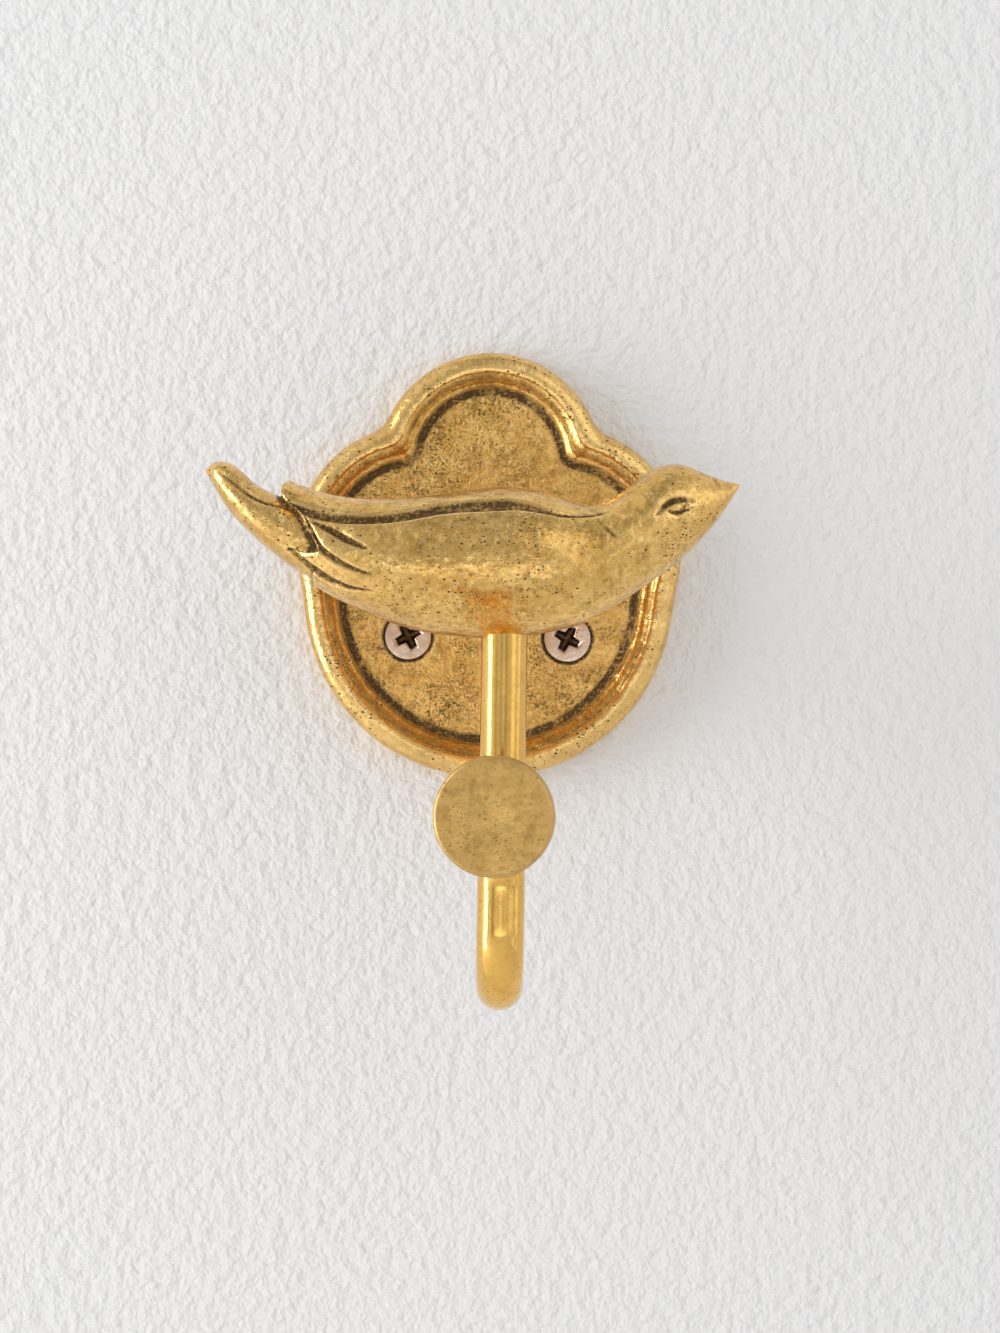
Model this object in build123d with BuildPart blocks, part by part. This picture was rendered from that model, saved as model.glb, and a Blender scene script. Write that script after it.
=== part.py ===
from build123d import *
import os
from math import asin, cos, pi, radians, sin, tan

# Cast brass wall hook: a lobed backplate, a bird standing out in front of it on a short post,
# and a round bar that leaves the bird's belly, bends up into a hook and ends in a flat disc.
# Millimetres, +Z up. The wall plane is Y = 0, the post runs along Y through X = Z = 0, and the
# front of the hook faces -Y, so a depth in front of the wall is a distance along -Y.

# Backplate outline: three overlapping rounds, each given by its radius and the place of its centre
lobe_radius = 20.2
lobe_height = 22.0
shoulder_radius = 21.7
shoulder_reach = 13.2
shoulder_height = 7.4
base_radius = 33.4
base_height = -1.3
waist_round = 60.0
notch_round = 1.6
inner_notch_round = 3.6

# Backplate section
rim_depth = 6.2
rim_width = 6.6
rim_round = 3.0
rim_round_steps = 2
rim_slope_width = 3.1
field_depth = 3.6

# Wall screws: countersunk heads below the field, a tapered neck through the plate, a shank in the wall
screw_spacing = 28.8
screw_height = -9.3
screw_head_diameter = 8.6
screw_head_land = 0.25
screw_neck_diameter = 4.7
screw_neck_reach = 0.6
screw_shank_diameter = 4.4
screw_length = 32.0
screw_point_length = 4.5
screw_tip_diameter = 0.8
screw_hole_diameter = 5.0
countersink_diameter = 9.45
countersink_angle = 90.0
recess_span = 4.7
recess_wall = 1.25
recess_depth = 1.9
left_recess_turn = 28.0
right_recess_turn = -27.0

# Post and the machine screw that holds it from behind
post_diameter = 8.0
post_foot_recess = 0.6
post_end_depth = 31.0
post_screw_diameter = 4.0
post_screw_head_diameter = 7.8
post_screw_length = 14.0
post_screw_sink = 0.2
post_screw_socket = 2.5
post_screw_socket_depth = 1.5
post_tapped_depth = 13.0

# Clearances: beside a bar in its hole, beside a screw, under a countersunk head, between seated faces
bar_clearance = 0.05
screw_clearance = 0.1
cone_clearance = 0.05
seat_gap = 0.03

# Bird: its mid-plane stands this far from the wall. Each rail is a smooth curve of heights, or of
# half thicknesses for a flank, against places along X. The bird is ruled between many-sided oval
# sections, each with a crown above the wing line and a keel below it, evenly spaced along the wings,
# the head and the tail.
bird_depth = 36.5
crown_sides = 9
keel_sides = 12
back_rail = (
    (-39.0, 18.7), (-34.8, 17.3), (-29.5, 15.3), (-19.0, 14.3), (-6.8, 15.3), (3.0, 16.5), (11.5, 15.1),
    (18.2, 13.7), (24.5, 17.2), (29.0, 20.3), (33.5, 20.8), (39.0, 18.7), (43.6, 17.7),
)
belly_rail = (
    (-39.0, 6.6), (-32.6, 1.0), (-29.1, -1.5), (-23.8, -4.3), (-14.0, -8.0), (-4.0, -9.5), (4.5, -9.4),
    (11.5, -8.3), (17.0, -6.7), (24.5, -2.1), (33.5, 4.7), (39.6, 11.4), (43.6, 17.7),
)
flank_rail = (
    (-39.0, 5.6), (-29.5, 8.7), (-14.0, 11.9), (0.0, 12.8), (11.5, 12.1), (20.5, 10.0),
    (29.0, 8.4), (36.0, 5.9), (40.2, 3.1), (43.6, 0.0),
)
rear_end = -39.0
neck_place = 21.5
beak_end = 43.4
wing_rings = 20
head_rings = 10

# Tail, a little slimmer than the wings that lie over it
tail_back_rail = (
    (-49.1, 18.8), (-48.4, 19.6), (-46.9, 20.2), (-44.3, 19.6), (-40.8, 16.8), (-37.0, 14.7),
    (-30.0, 12.6), (-24.0, 11.5),
)
tail_belly_rail = (
    (-49.1, 18.3), (-48.4, 17.3), (-46.8, 14.6), (-44.3, 11.1), (-37.0, 4.4), (-32.6, 1.3),
    (-29.0, -0.7), (-24.0, -2.6),
)
tail_flank_rail = (
    (-49.1, 0.4), (-48.4, 1.6), (-46.8, 3.4), (-44.3, 4.6), (-40.8, 5.5), (-32.6, 6.6), (-24.0, 7.5),
)
tail_base = -24.0
tail_end = -49.1
tail_rings = 10

# Rear outline of the wing feathers, as arcs from the top of the step down to the lowest feather
feather_top = (-35.4, 17.6)
feather_step = ((-35.3, 14.4), (-32.3, 11.6))
middle_feather = ((-31.3, 8.8), (-29.6, 6.0))
lowest_feather_top = ((-32.2, 5.3), (-34.9, 5.6))
lowest_feather_foot = ((-32.6, 3.0), (-29.8, 0.6))

# Carved lines on both flanks. The long wing line is a notch in the sections, with a width and depth
# that fade towards the neck. The short feather lines run forward to a point.
wing_line = (
    (-39.0, 15.2), (-34.6, 13.3), (-29.0, 11.0), (-23.0, 10.1), (-14.0, 10.6), (-6.0, 12.0),
    (1.0, 12.9), (8.0, 12.2), (14.5, 11.0), (18.5, 9.8), (21.5, 7.9),
)
wing_line_width = 1.7
wing_line_depth = 0.9
wing_line_fade_length = 14.0
wing_line_least = 0.15
feather_lines = (
    ((-32.6, 11.0), (-26.8, 7.6), (-21.0, 5.3)),
    ((-30.6, 6.7), (-25.9, 3.3), (-20.6, 1.2)),
    ((-30.8, 1.3), (-25.8, -1.5), (-20.8, -2.6)),
)
feather_line_width = 1.2
feather_line_depth = 0.7
feather_core_end = 0.0
feather_core_rings = 10

# Eyes
eye_place = (32.4, 13.0)
eye_radius = 1.6
eye_rise = 0.5

# Hook bar and its end disc
bar_diameter = 8.0
bar_side_shift = 3.0
bar_seat_depth = 7.0
throat_radius = 11.0
throat_height = -58.0
lip_length = 6.0
flare_radius = 13.0
throat_steps = 10
flare_steps = 5
disc_neck_length = 2.0
disc_diameter = 20.0
disc_thickness = 4.0
disc_edge_bevel = 0.6
disc_side_shift = 1.9
disc_socket_depth = 1.6
disc_turn = 5.5
disc_dip = 2.0

# Worked out from the sizes above
wall = Plane.XZ
field = wall.offset(field_depth)
countersink_slope = tan(radians(countersink_angle / 2))
screw_places = ((-screw_spacing / 2, left_recess_turn), (screw_spacing / 2, right_recess_turn))
screw_seat = screw_head_diameter / 2 + cone_clearance
screw_sink = (countersink_diameter / 2 - screw_seat) / countersink_slope - screw_head_land
screw_top = screw_sink - field_depth
screw_cone = (screw_head_diameter - screw_neck_diameter) / 2 / countersink_slope
screw_neck_end = screw_neck_reach - screw_top
post_screw_mouth = post_screw_head_diameter / 2 + cone_clearance + post_screw_sink * countersink_slope
post_screw_cone = (post_screw_head_diameter - post_screw_diameter) / 2 / countersink_slope
post_foot = field_depth - post_foot_recess + seat_gap
bar_radius = bar_diameter / 2
far = 2 * bird_depth

os.makedirs("parts", exist_ok=True)


def draw_plate(outline, inset, corner_round):
    """Draws the plate's outline, drawn in from its edge by the inset, in the open sketch."""
    with Locations((-shoulder_reach, shoulder_height), (shoulder_reach, shoulder_height)):
        Circle(shoulder_radius - inset)
    with Locations((0, base_height)):
        Circle(base_radius - inset)
    with Locations((0, lobe_height)):
        Circle(lobe_radius - inset)
    fillet(outline.vertices().sort_by(Axis.Y)[-2:], corner_round)
    fillet(outline.vertices().sort_by(Axis.Y)[:2], waist_round + inset)


# Backplate: flat back, rounded rim, recessed field, countersunk screw holes
with BuildPart() as backplate:
    with BuildSketch(wall) as plate_back:
        draw_plate(plate_back, 0, notch_round)
    for step in range(rim_round_steps + 1):
        turn = radians(90) * step / rim_round_steps
        inset = rim_round * (1 - cos(turn))
        with BuildSketch(wall.offset(rim_depth - rim_round * (1 - sin(turn)))) as rim_layer:
            draw_plate(rim_layer, inset, notch_round + inset)
    loft(ruled=True)
    for depth, inset in ((field_depth, rim_width), (rim_depth, rim_width - rim_slope_width)):
        with BuildSketch(wall.offset(depth)) as pocket_layer:
            draw_plate(pocket_layer, inset, inner_notch_round)
    loft(ruled=True, mode=Mode.SUBTRACT)
    with Locations(field):
        with Locations(*[(x, screw_height) for x, turn in screw_places]):
            CounterSinkHole(
                screw_hole_diameter / 2,
                countersink_diameter / 2,
                counter_sink_angle=countersink_angle,
            )
        Hole(post_diameter / 2 + bar_clearance, post_foot_recess)
    with Locations(wall.rotated((180, 0, 0))):
        CounterSinkHole(
            post_screw_diameter / 2 + screw_clearance,
            post_screw_mouth,
            counter_sink_angle=countersink_angle,
        )

# Wall screws: two countersunk cross-recess screws, their thread left as a plain shank
with BuildPart() as mounting_screws:
    for x, turn in screw_places:
        head_face = Plane((x, screw_top, screw_height), x_dir=(1, 0, 0), z_dir=(0, -1, 0))
        for depth, diameter in (
            (0, screw_head_diameter),
            (screw_head_land, screw_head_diameter),
            (screw_head_land + screw_cone, screw_neck_diameter),
            (screw_neck_end, screw_shank_diameter),
            (screw_length - screw_point_length, screw_shank_diameter),
            (screw_length, screw_tip_diameter),
        ):
            with BuildSketch(head_face.offset(-depth)):
                Circle(diameter / 2)
        loft(ruled=True)
        with BuildSketch(head_face.rotated((0, 0, turn))):
            Rectangle(recess_span, recess_wall)
            Rectangle(recess_wall, recess_span)
        extrude(amount=-recess_depth, mode=Mode.SUBTRACT)

# Post: a plain bar with its foot in the plate and its tapped end towards the wall
with BuildPart() as post:
    with BuildSketch(wall.offset(post_foot)):
        Circle(post_diameter / 2)
    extrude(amount=post_end_depth - post_foot)
    with BuildSketch(wall.offset(post_foot)):
        Circle(post_screw_diameter / 2 + screw_clearance)
    extrude(amount=post_tapped_depth, mode=Mode.SUBTRACT)

# Post screw: countersunk machine screw from the wall side, with a hexagon socket
with BuildPart() as post_screw:
    with BuildSketch(Plane.XY):
        with BuildLine():
            Polyline(
                (0, -post_screw_sink),
                (post_screw_head_diameter / 2, -post_screw_sink),
                (post_screw_diameter / 2, -post_screw_sink - post_screw_cone),
                (post_screw_diameter / 2, -post_screw_sink - post_screw_length),
                (0, -post_screw_sink - post_screw_length),
                close=True,
            )
        make_face()
    revolve(axis=Axis.Y)
    with BuildSketch(wall.offset(post_screw_sink)):
        RegularPolygon(post_screw_socket / 2, 6, major_radius=False)
    extrude(amount=post_screw_socket_depth, mode=Mode.SUBTRACT)


def rail(points):
    """Smooth curve through a rail's points, drawn flat with X across and the measure upward."""
    with BuildLine(mode=Mode.PRIVATE) as line:
        Spline(*points)
    return line.line.edge()


def measure(curve, x):
    """Height of a rail at one place along X."""
    return curve.find_intersection_points(Axis((x, -far, 0), (0, 1, 0)))[0].Y


def evenly(start, end, steps):
    """Values from start to end in equal steps."""
    return [start + (end - start) * n / steps for n in range(steps + 1)]


def girth(rails, x):
    """Middle height, half height and half thickness of the bird at one place along X."""
    top, bottom, reach = [measure(curve, x) for curve in rails]
    return (top + bottom) / 2, (top - bottom) / 2, reach


def across(x, middle, points):
    """Section face across X at one place, from points beside and above its middle."""
    station = Plane((x, -bird_depth, middle), x_dir=(0, 1, 0), z_dir=(1, 0, 0))
    with BuildSketch(station, mode=Mode.PRIVATE) as face:
        with BuildLine():
            Polyline(*points, close=True)
        make_face()
    return face.sketch


def sides(rise, reach, upper, lower):
    """Corner points of an oval's crown above one angle on each flank, and of its keel below another."""
    crown = [(reach * cos(a), rise * sin(a)) for a in evenly(upper, pi - upper, crown_sides)]
    keel = [(reach * cos(a), rise * sin(a)) for a in evenly(pi - lower, 2 * pi + lower, keel_sides)]
    return crown, keel


def oval(rails, x, split=0.0, inset=0.0):
    """Many-sided oval section, drawn in from the skin by the inset."""
    middle, rise, reach = girth(rails, x)
    crown, keel = sides(rise - inset, reach - inset, split, split)
    return across(x, middle, crown + keel[1:-1])


def notched_oval(rails, x):
    """Many-sided oval section with the wing line as a notch in each flank."""
    middle, rise, reach = girth(rails, x)
    level = measure(wing_curve, x) - middle
    share = max(wing_line_least, min(1, (neck_place - x) / wing_line_fade_length))
    half_width = share * wing_line_width / 2
    crown, keel = sides(rise, reach, asin((level + half_width) / rise), asin((level - half_width) / rise))
    floor = reach * cos(asin(level / rise)) - share * wing_line_depth
    return across(x, middle, [*crown, (-floor, level), *keel, (floor, level)])


def skin(x, z, side, lift):
    """Point off the bird's front or back flank at X and Z, by a distance outward."""
    hits = bird.part.find_intersection_points(Axis((x, -far, z), (0, 1, 0)))
    if side == "front":
        return hits[0][0] - Vector(0, lift, 0)
    return hits[-1][0] + Vector(0, lift, 0)


body_rails = [rail(points) for points in (back_rail, belly_rail, flank_rail)]
tail_rails = [rail(points) for points in (tail_back_rail, tail_belly_rail, tail_flank_rail)]
wing_curve = rail(wing_line)
neck_middle, neck_rise = girth(body_rails, neck_place)[:2]
neck_split = asin((measure(wing_curve, neck_place) - neck_middle) / neck_rise)

# Body with wings and head, cut off behind along the tips of the feathers
with BuildPart() as body:
    loft([notched_oval(body_rails, x) for x in evenly(rear_end, neck_place, wing_rings)], ruled=True)
    loft([oval(body_rails, x, neck_split) for x in evenly(neck_place, beak_end, head_rings)], ruled=True)
    with BuildSketch(wall.offset(bird_depth)):
        with BuildLine():
            step = ThreePointArc(feather_top, *feather_step)
            middle = ThreePointArc(step @ 1, *middle_feather)
            upper_edge = ThreePointArc(middle @ 1, *lowest_feather_top)
            lower_edge = ThreePointArc(upper_edge @ 1, *lowest_feather_foot)
            Polyline(
                lower_edge @ 1,
                (lower_edge @ 1) - Vector(0, far, 0),
                (step @ 0) - Vector(far, far, 0),
                (step @ 0) + Vector(-far, far, 0),
                (step @ 0) + Vector(0, far, 0),
                step @ 0,
            )
        make_face()
    extrude(amount=bird_depth, both=True, mode=Mode.SUBTRACT)

# Feather carving: pointed lines cut through from flank to flank, less the core that they stop at
with BuildPart() as carving:
    with BuildSketch(wall.offset(bird_depth)):
        for *drawn, point in feather_lines:
            with BuildLine():
                upper = ThreePointArc(*[(x, z + feather_line_width / 2) for x, z in drawn], point)
                lower = ThreePointArc(*[(x, z - feather_line_width / 2) for x, z in drawn], point)
                Line(upper @ 0, lower @ 0)
            make_face()
    extrude(amount=bird_depth, both=True)
    stations = evenly(rear_end, feather_core_end, feather_core_rings)
    loft([oval(body_rails, x, inset=feather_line_depth) for x in stations], ruled=True, mode=Mode.SUBTRACT)

# Bird: the whole casting, with its carved feathers, eyes and the two blind holes
with BuildPart() as bird:
    add(body.part)
    loft([oval(tail_rails, x) for x in evenly(tail_end, tail_base, tail_rings)], ruled=True)
    add(carving.part, mode=Mode.SUBTRACT)
    for side in ("front", "back"):
        with Locations(skin(*eye_place, side, eye_rise - eye_radius)):
            Sphere(eye_radius)
    belly_height = measure(body_rails[1], bar_side_shift)
    bar_top = belly_height + bar_seat_depth
    with BuildSketch(wall.offset(post_end_depth + seat_gap)):
        Circle(post_diameter / 2 + bar_clearance)
    extrude(amount=-bird_depth, mode=Mode.SUBTRACT)
    with BuildSketch(Plane((bar_side_shift, -bird_depth, bar_top + seat_gap))):
        Circle(bar_radius + bar_clearance)
    extrude(amount=-bird_depth, mode=Mode.SUBTRACT)

# Hook bar: down from the belly, round the throat, up the lip and forward to the disc, with its bends
# in short straight steps
with BuildPart() as hook_rod:
    with BuildLine(Plane.YZ.offset(bar_side_shift)) as bar_path:
        throat = JernArc((-bird_depth, throat_height), (0, -1), throat_radius, -180, mode=Mode.PRIVATE)
        lip_top = (throat @ 1) + (throat % 1) * lip_length
        flare = JernArc(lip_top, throat % 1, flare_radius, 90, mode=Mode.PRIVATE)
        Polyline(
            (-bird_depth, bar_top),
            *[throat @ share for share in evenly(0, 1, throat_steps)],
            *[flare @ share for share in evenly(0, 1, flare_steps)],
            (flare @ 1) + (flare % 1) * (disc_neck_length + disc_socket_depth),
        )
    with BuildSketch(Plane(bar_path.line @ 0, z_dir=bar_path.line % 0)):
        Circle(bar_radius)
    sweep(transition=Transition.RIGHT)

# End disc, turned a little aside, with a blind socket for the bar's end
bar_end = bar_path.line @ 1
disc_back = Plane(
    (disc_side_shift, bar_end.Y + disc_socket_depth, bar_end.Z),
    x_dir=(cos(radians(disc_turn)), -sin(radians(disc_turn)), 0),
    z_dir=(-sin(radians(disc_turn)), -cos(radians(disc_turn)), -tan(radians(disc_dip))),
)
with BuildPart() as end_disc:
    with BuildSketch(disc_back):
        Circle(disc_diameter / 2)
    extrude(amount=disc_thickness)
    chamfer(end_disc.edges().filter_by(GeomType.CIRCLE), disc_edge_bevel)
    with BuildSketch(Plane.XZ.offset(-bar_end.Y + seat_gap)):
        with Locations((bar_side_shift, bar_end.Z)):
            Circle(bar_radius + bar_clearance)
    extrude(amount=-disc_thickness, mode=Mode.SUBTRACT)

pieces = {
    "backplate": backplate,
    "mounting_screws": mounting_screws,
    "post": post,
    "post_screw": post_screw,
    "bird": bird,
    "hook_rod": hook_rod,
    "end_disc": end_disc,
}
for name, piece in pieces.items():
    piece.part.label = name
    export_step(piece.part, f"parts/{name}.step")
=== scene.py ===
from math import atan2, cos, pi, radians, sin

import bmesh
import bpy
import numpy as np
from mathutils import Matrix, Vector, noise


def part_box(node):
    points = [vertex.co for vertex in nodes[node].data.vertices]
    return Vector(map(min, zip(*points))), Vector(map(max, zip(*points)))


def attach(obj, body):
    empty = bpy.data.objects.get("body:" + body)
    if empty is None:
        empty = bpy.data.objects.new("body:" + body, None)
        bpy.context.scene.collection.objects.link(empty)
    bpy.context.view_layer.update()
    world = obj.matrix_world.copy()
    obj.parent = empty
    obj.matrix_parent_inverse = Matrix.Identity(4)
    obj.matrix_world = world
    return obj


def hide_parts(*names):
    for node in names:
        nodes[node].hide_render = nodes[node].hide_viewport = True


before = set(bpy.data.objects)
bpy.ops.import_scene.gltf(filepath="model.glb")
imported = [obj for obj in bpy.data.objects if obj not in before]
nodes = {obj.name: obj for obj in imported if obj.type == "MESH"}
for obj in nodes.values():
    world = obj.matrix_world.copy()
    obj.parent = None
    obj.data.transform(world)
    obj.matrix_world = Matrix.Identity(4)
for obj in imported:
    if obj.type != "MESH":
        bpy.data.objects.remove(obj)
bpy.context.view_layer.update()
mm = 0.001
tiny = 1e-9

# Plate, in millimetres: centre and radius of each round of its outline
plate_rounds = ((-13.2, 7.4, 21.7), (13.2, 7.4, 21.7), (0.0, -1.3, 33.4), (0.0, 22.0, 20.2))
notch_softness = 2.2
rim_round = 3.0
# Height of the front against the distance in from the edge, from the end of the rim's round to the field
rim_fall = (
    (3.0, 6.2), (3.7, 6.0), (4.3, 5.45), (4.8, 5.1), (5.4, 4.85), (6.0, 4.35), (6.6, 3.65), (7.1, 3.35),
    (7.7, 3.5), (8.4, 3.6), (40.0, 3.6),
)
rim_foot = 6.9
rim_bead = 4.5
field_depth = 3.6
rim_depth = -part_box("backplate")[0].y / mm
sink_reach = 4.95
plate_voxel = 0.35 * mm
# Its sand, which starts before the rim's foot, its patina, and its darkening in the countersinks, with the
# widths that they fade over
sand_start = 0.6
sand_blend = 0.8
foot_shift = 0.1
foot_width = 0.75
bead_width = 0.4
bead_strength = 0.35
sink_blend = 0.3
# Depths of its uneven skin: waves all over, grain on the rim, and more of it in the sand
plate_waves = 0.08
rim_grain = 0.02
sand_grain = 0.04

# Bird, in millimetres: rails of heights or half thicknesses against X, about its mid-plane
bird_depth = 36.5
bird_voxel = 0.30 * mm
wing_span = (-39.0, 43.55)
back_rail = (
    (-39.0, 18.7), (-34.8, 17.3), (-29.5, 15.3), (-19.0, 14.3), (-6.8, 15.3), (3.0, 16.5), (11.5, 15.1),
    (18.2, 13.7), (24.5, 17.2), (29.0, 20.3), (33.5, 20.8), (39.0, 18.7), (43.6, 17.7),
)
belly_rail = (
    (-39.0, 6.6), (-32.6, 1.0), (-29.1, -1.5), (-23.8, -4.3), (-14.0, -8.0), (-4.0, -9.5), (4.5, -9.4),
    (11.5, -8.3), (17.0, -6.7), (24.5, -2.1), (33.5, 4.7), (39.6, 11.4), (43.6, 17.7),
)
flank_rail = (
    (-39.0, 5.6), (-29.5, 8.7), (-14.0, 11.9), (0.0, 12.8), (11.5, 12.1), (20.5, 10.0),
    (29.0, 8.4), (36.0, 5.9), (40.2, 3.1), (43.6, 0.05),
)
tail_span = (-49.1, -24.0)
tail_back_rail = (
    (-49.1, 18.8), (-48.4, 19.6), (-46.9, 20.2), (-44.3, 19.6), (-40.8, 16.8), (-37.0, 14.7), (-30.0, 12.6),
    (-24.0, 11.5),
)
tail_belly_rail = (
    (-49.1, 18.3), (-48.4, 17.3), (-46.8, 14.6), (-44.3, 11.1), (-37.0, 4.4), (-32.6, 1.3), (-29.0, -0.7),
    (-24.0, -2.6),
)
tail_flank_rail = (
    (-49.1, 0.4), (-48.4, 1.6), (-46.8, 3.4), (-44.3, 4.6), (-40.8, 5.5), (-32.6, 6.6), (-24.0, 7.5),
)

# Rear edge of the wing feathers, from the back down to the belly
feather_edge = (
    (-33.2, 19.5), (-33.9, 17.4), (-34.8, 17.1), (-35.5, 16.6), (-35.8, 15.8), (-35.7, 14.8), (-35.2, 13.7),
    (-34.0, 12.5), (-32.8, 11.7), (-31.8, 10.3), (-30.9, 8.6), (-30.0, 6.9), (-29.1, 5.2), (-30.5, 4.9),
    (-32.2, 5.0), (-33.9, 5.0), (-34.1, 4.6), (-33.0, 4.0), (-31.7, 3.0), (-30.1, 1.6),
)
feather_foot = -29.8
# Painted shade on the tail along part of that edge, where the wing's end face stands over it: its points,
# their shift, the half width and the strength
shaded_edge = feather_edge[3:13]
shade_shift = (-0.5, -0.3)
shade_width = 0.6
shade_strength = 1.0

# Carved lines on both flanks: X, Z, half width and depth at each point
wing_line = (
    (-34.4, 13.0, 0.4, 0.4), (-32.3, 12.0, 0.65, 0.8), (-29.7, 11.2, 0.75, 0.9), (-24.6, 10.4, 0.75, 0.9),
    (-18.6, 10.5, 0.7, 0.9), (-15.2, 10.9, 0.75, 0.9), (-8.4, 12.4, 0.85, 0.9), (-1.5, 13.0, 0.9, 0.9),
    (1.9, 13.2, 0.9, 0.9), (7.0, 12.9, 0.7, 0.75), (11.0, 11.8, 0.35, 0.45), (14.7, 11.4, 0.25, 0.25),
    (18.3, 11.7, 0.25, 0.25), (21.4, 12.5, 0.2, 0.0),
)
upper_feather_line = (
    (-30.8, 10.3, 0.2, 0.1), (-30.0, 9.8, 0.3, 0.5), (-27.1, 8.5, 0.6, 0.85), (-24.5, 7.0, 0.65, 0.85),
    (-21.9, 5.8, 0.5, 0.6), (-20.1, 5.0, 0.25, 0.0),
)
middle_feather_line = (
    (-32.1, 11.2, 0.4, 0.5), (-30.5, 8.6, 0.45, 0.6), (-29.1, 5.7, 0.5, 0.7), (-27.1, 3.9, 0.5, 0.75),
    (-24.5, 2.4, 0.45, 0.6), (-21.9, 1.4, 0.3, 0.3), (-19.1, 0.6, 0.2, 0.0),
)
lower_feather_top = ((-34.3, 5.0, 0.3, 0.5), (-31.7, 4.7, 0.45, 0.6), (-29.1, 4.9, 0.3, 0.3))
lower_feather_line = (
    (-33.7, 4.6, 0.35, 0.4), (-31.7, 3.0, 0.45, 0.6), (-28.7, 0.8, 0.5, 0.7), (-26.1, -0.6, 0.45, 0.6),
    (-23.6, -1.4, 0.35, 0.45), (-20.8, -1.8, 0.25, 0.2), (-18.2, -2.3, 0.2, 0.0),
)
tail_ridge_line = (
    (-46.9, 18.5, 0.25, 0.1), (-44.3, 16.6, 0.35, 0.35), (-40.9, 14.1, 0.35, 0.35), (-37.4, 12.8, 0.35, 0.35),
    (-34.4, 12.3, 0.3, 0.2),
)
tail_second_line = (
    (-45.9, 16.4, 0.2, 0.1), (-42.6, 14.1, 0.25, 0.2), (-40.0, 12.4, 0.25, 0.15), (-38.1, 11.6, 0.2, 0.0),
)
neck_crease = ((18.7, 10.7, 0.3, 0.1), (20.4, 9.2, 0.4, 0.18), (21.5, 8.2, 0.4, 0.15), (22.8, 7.4, 0.3, 0.0))
brow_line = (
    (28.8, 11.9, 0.25, 0.3), (29.6, 12.8, 0.42, 0.55), (30.8, 13.9, 0.6, 0.65), (32.0, 14.4, 0.55, 0.6),
    (33.5, 14.5, 0.48, 0.5), (35.2, 14.3, 0.28, 0.2),
)
lid_line = (
    (30.5, 12.7, 0.25, 0.3), (31.3, 12.4, 0.34, 0.45), (32.4, 12.2, 0.36, 0.5), (33.4, 12.6, 0.34, 0.45),
    (34.4, 12.9, 0.25, 0.2),
)
eye_corner_line = ((33.9, 13.8, 0.28, 0.3), (33.6, 13.5, 0.32, 0.4), (33.5, 13.1, 0.28, 0.3))
beak_crease = ((38.8, 18.4, 0.4, 0.25), (39.4, 17.2, 0.4, 0.15), (39.5, 16.2, 0.35, 0.0))
carved_lines = (
    wing_line, upper_feather_line, middle_feather_line, lower_feather_top, lower_feather_line,
    tail_ridge_line, tail_second_line, neck_crease, brow_line, lid_line, eye_corner_line, beak_crease,
)
eye_place = (32.3, 13.3)
eye_radius = 0.75
eye_rise = 0.3
eye_clean = 0.6

# Hook bar, in millimetres: radii of its two bends along the centre line, and the painted shade on its top just
# below the belly
throat_radius = 11.0
flare_radius = 13.0
belly_shade = 6.0
belly_shade_blend = 2.0

# Wall screws, in millimetres: places and heads from the CAD box, the rest of their form listed here
screw_low, screw_high = [Vector(corner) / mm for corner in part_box("mounting_screws")]
screw_head = (screw_high.z - screw_low.z) / 2
screw_reach = (screw_high.x - screw_low.x) / 2 - screw_head
screw_height = (screw_low.z + screw_high.z) / 2
screw_places = ((-screw_reach, screw_height), (screw_reach, screw_height))
screw_turns = (28.0, -27.0)
screw_edge = 0.3
screw_edge_depth = 0.25
screw_neck = 2.35
screw_shank = 2.2
screw_root = 1.65
screw_point = 4.5
screw_point_share = 0.12
thread_place = 0.6
thread_pitch = 1.8
thread_width = 0.3
thread_rings = 9
# Cross recess: depth, reach of the arms and half their width at each level, and the fill of its corners
recess_levels = ((-0.4, 3.0, 0.82), (0.9, 2.1, 0.58), (1.9, 0.9, 0.42))
recess_fill = 1.25


def link(obj):
    bpy.context.scene.collection.objects.link(obj)
    return obj


def mesh_object(name, points, faces):
    """New object from points in millimetres."""
    mesh = bpy.data.meshes.new(name)
    mesh.from_pydata([tuple(c * mm for c in p) for p in points], [], faces)
    return link(bpy.data.objects.new(name, mesh))


def cad_copy(name, node):
    """New object with a copy of a CAD node's mesh."""
    obj = bpy.data.objects.new(name, nodes[node].data.copy())
    obj.data.materials.clear()
    return link(obj)


def apply(obj, kind, **settings):
    """Adds a modifier and turns its result into the object's own mesh."""
    modifier = obj.modifiers.new(kind.lower(), kind)
    for key, value in settings.items():
        setattr(modifier, key, value)
    graph = bpy.context.evaluated_depsgraph_get()
    graph.update()
    result = bpy.data.meshes.new_from_object(obj.evaluated_get(graph))
    obj.modifiers.clear()
    obj.data = result


def cut_away(obj, tool):
    """Takes a tool out of an object, and removes the tool."""
    apply(obj, "BOOLEAN", operation="DIFFERENCE", object=tool, solver="EXACT")
    bpy.data.objects.remove(tool)


def settle(obj, slot, material, *replaced):
    """Makes an object a piece of the part."""
    obj.data.materials.clear()
    obj.data.materials.append(material)
    obj.data.polygons.foreach_set("use_smooth", [True] * len(obj.data.polygons))
    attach(obj, "root")
    if replaced:
        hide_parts(*replaced)


def points_of(obj):
    """Places of an object's vertices, in millimetres."""
    places = np.empty(len(obj.data.vertices) * 3, np.float32)
    obj.data.vertices.foreach_get("co", places)
    return places.reshape(-1, 3).astype(float) / mm


def normals_of(obj):
    normals = np.empty(len(obj.data.vertices) * 3, np.float32)
    obj.data.vertices.foreach_get("normal", normals)
    return normals.reshape(-1, 3).astype(float)


def move_to(obj, points):
    """Puts an object's vertices at points in millimetres."""
    obj.data.vertices.foreach_set("co", (points * mm).astype(np.float32).ravel())
    obj.data.update()


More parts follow.
